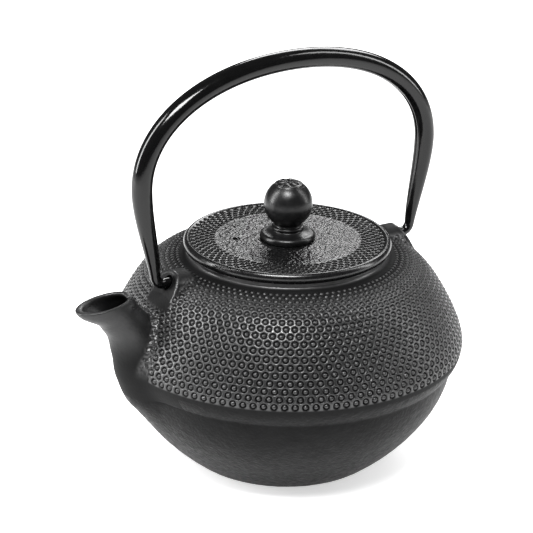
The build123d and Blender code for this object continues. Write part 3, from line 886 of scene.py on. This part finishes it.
def cell_faces(start, holed):
    """Faces of one square of sheet, its outer and inner rings of eight points on both sides."""
    o, oi, h, hi = start, start + 8, start + 16, start + 24
    faces = []
    for i in range(8):
        j = (i + 1) % 8
        faces.append((o + i, o + j, h + j, h + i))
        faces.append((oi + j, oi + i, hi + i, hi + j))
        if holed:
            faces.append((h + i, h + j, hi + j, hi + i))
    if not holed:
        for ring, turn in ((h, 1), (hi, -1)):
            for corners in ((0, 1, 2, 3), (0, 3, 4, 7), (4, 5, 6, 7)):
                faces.append(tuple(ring + k for k in corners)[::turn])
    return faces


def build_infuser_wall():
    """Perforated wall: rows of holes, each row half a step on from the one below."""
    low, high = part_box("infuser_wall")
    radius, z_low, z_high = high.x / MM, low.z / MM, high.z / MM
    step = 2 * math.pi / WALL_HOLES
    pitch = step * radius
    rows = int((z_high - z_low - 3) / pitch)
    margin = (z_high - z_low - rows * pitch) / 2
    verts, faces = [], []

    def cell(u, v, tall, holed):
        faces.extend(cell_faces(len(verts), holed))
        edge = CELL_EDGE * (1, tall) + (u, v)
        inner = (HOLE if holed else HOLE * 0.4) + (u, v)
        for ring in (edge, inner):
            for r in (radius, radius - SHEET):
                for a, b in ring:
                    verts.append((r * math.cos(a * step), r * math.sin(a * step), z_low + margin + b * pitch))

    for row in range(rows):
        for column in range(WALL_HOLES):
            cell(column + 0.5 * (row % 2), row + 0.5, 1.0, True)
    tall = margin / pitch
    for column in range(WALL_HOLES):
        cell(column, -tall / 2, tall, False)
        cell(column + 0.5 * (rows % 2), rows + tall / 2, tall, False)
    verts, faces = np.array(verts), np.array(faces)
    wall = make_piece("infuser_mesh_wall", verts, faces, MAT_MESH, "infuser")
    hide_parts("infuser_wall")


def build_infuser_floor():
    """Perforated disc with a plain edge."""
    low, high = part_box("infuser_floor")
    radius = high.x / MM
    reach = int(radius / FLOOR_PITCH) + 2
    verts, faces = [], []

    def cell(u, v):
        edge = (CELL_EDGE + (u, v)) * FLOOR_PITCH
        size = np.hypot(edge[:, 0], edge[:, 1])
        if size.min() >= radius:
            return
        holed = size.max() < radius - 1.0
        faces.extend(cell_faces(len(verts), holed))
        edge = edge * np.minimum(1, radius / size)[:, None]
        inner = (HOLE + (u, v)) * FLOOR_PITCH if holed else edge * 0.5 + edge.mean(0) * 0.5
        for ring in (edge, inner):
            for level in (high.z / MM, low.z / MM):
                verts.extend((a, b, level) for a, b in ring)

    for row in range(-reach, reach + 1):
        for column in range(-reach, reach + 1):
            cell(column + 0.5 * (row % 2), row)
    verts, faces = np.array(verts), np.array(faces)
    floor = make_piece("infuser_mesh_floor", verts, faces, MAT_MESH, "infuser")
    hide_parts("infuser_floor")


build_pot()
build_lid()
build_knob()
build_handle()
build_infuser_wall()
build_infuser_floor()
for node, material in (
    ("knob_washer", MAT_FASTENER), ("knob_screw", MAT_FASTENER), ("infuser_rim", MAT_INFUSER),
    ("infuser_seam", MAT_INFUSER), ("infuser_base_band", MAT_INFUSER),
):
    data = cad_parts[node].data
    data.materials.clear()
    data.materials.append(material)


# ------------------------------------------------------------------ floor, light and camera
def build_floor():
    """Round white floor, finer towards the pot."""
    rows, sides = 24, 96
    turns = [2 * math.pi * k / sides for k in range(sides)]
    points = [(0, 0, 0)]
    for i in range(1, rows + 1):
        r = 3.0 * (i / rows) ** 1.5
        points += [(r * math.cos(turn), r * math.sin(turn), 0) for turn in turns]
    faces = [(0, 1 + k, 1 + (k + 1) % sides) for k in range(sides)]
    for i in range(rows - 1):
        a, b = 1 + i * sides, 1 + (i + 1) * sides
        faces += [(a + k, b + k, b + (k + 1) % sides, a + (k + 1) % sides) for k in range(sides)]
    mesh = bpy.data.meshes.new("floor")
    mesh.from_pydata(points, [], faces)
    floor = bpy.data.objects.new("floor", mesh)
    bpy.context.scene.collection.objects.link(floor)
    material, nodes, links, base, place = shader("floor_white", 0.8, specular=0.2)
    base.inputs["Emission Color"].default_value = (1, 1, 1, 1)
    base.inputs["Emission Strength"].default_value = 0.5
    cloud = noise_node(nodes, links, place, 300.0, 2.0)
    tones = [(0.3, (0.79, 0.79, 0.79)), (0.7, (0.81, 0.81, 0.81))]
    links.new(ramp(nodes, links, cloud, tones), base.inputs["Base Color"])
    mesh.materials.append(material)


def area_light(name, place, width, height, power):
    """Soft rectangular light, turned towards the pot."""
    light = bpy.data.lights.new(name, "AREA")
    light.shape = "RECTANGLE"
    light.size, light.size_y = width, height
    light.energy = power
    lamp = bpy.data.objects.new(name, light)
    bpy.context.scene.collection.objects.link(lamp)
    lamp.location = place
    lamp.rotation_euler = (LIGHT_TARGET - place).to_track_quat("-Z", "Y").to_euler()


LIGHT_TARGET = Vector((0, 0, 0.09))
CAMERA_AZ = math.radians(147.2)
CAMERA_EL = math.radians(21.71)
CAMERA_ROLL = math.radians(1.06)
CAMERA_PLACE = (0.43312, 0.65498, 0.4004)


def camera_axes():
    back = Vector((math.sin(CAMERA_AZ) * math.cos(CAMERA_EL), -math.cos(CAMERA_AZ) * math.cos(CAMERA_EL),
                   math.sin(CAMERA_EL)))
    right = Vector((math.cos(CAMERA_AZ), math.sin(CAMERA_AZ), 0))
    up = back.cross(right)
    turned_right = math.cos(CAMERA_ROLL) * right + math.sin(CAMERA_ROLL) * up
    turned_up = -math.sin(CAMERA_ROLL) * right + math.cos(CAMERA_ROLL) * up
    return turned_right, turned_up, back


def build_camera():
    right, up, back = camera_axes()
    data = bpy.data.cameras.new("camera")
    data.sensor_width = 36.0
    data.lens = 131.89
    data.shift_x = 0.0018
    data.shift_y = -0.0095
    data.clip_end = 50.0
    camera = bpy.data.objects.new("camera", data)
    bpy.context.scene.collection.objects.link(camera)
    rotation = Matrix((right, up, back)).transposed()
    camera.matrix_world = Matrix.Translation(CAMERA_PLACE) @ rotation.to_4x4()
    bpy.context.scene.camera = camera


def seen_from(right, up, back):
    """Point beside the pot, given along the camera's own directions, in metres."""
    r, _, b = camera_axes()
    return Vector((0, 0, 0.08)) + r * right + Vector((0, 0, 1)) * up + b * back


build_floor()
build_camera()
area_light("softbox_left", seen_from(-0.9, 0.45, 0.1), 0.25, 1.0, 12)
area_light("softbox_right", seen_from(0.85, 0.5, -0.1), 0.16, 1.0, 4.5)
area_light("behind", seen_from(0.25, 1.0, -0.9), 0.8, 0.4, 7.0)
area_light("overhead_front", seen_from(-0.15, 1.1, 0.85), 0.8, 0.5, 33)

world = bpy.data.worlds.new("studio")
world.use_nodes = True
sky = world.node_tree.nodes["Background"]
sky.inputs["Color"].default_value = (1, 1, 1, 1)
sky.inputs["Strength"].default_value = 0.12
bpy.context.scene.world = world
bpy.context.scene.view_settings.view_transform = "Standard"
bpy.context.scene.view_settings.look = "Medium High Contrast"
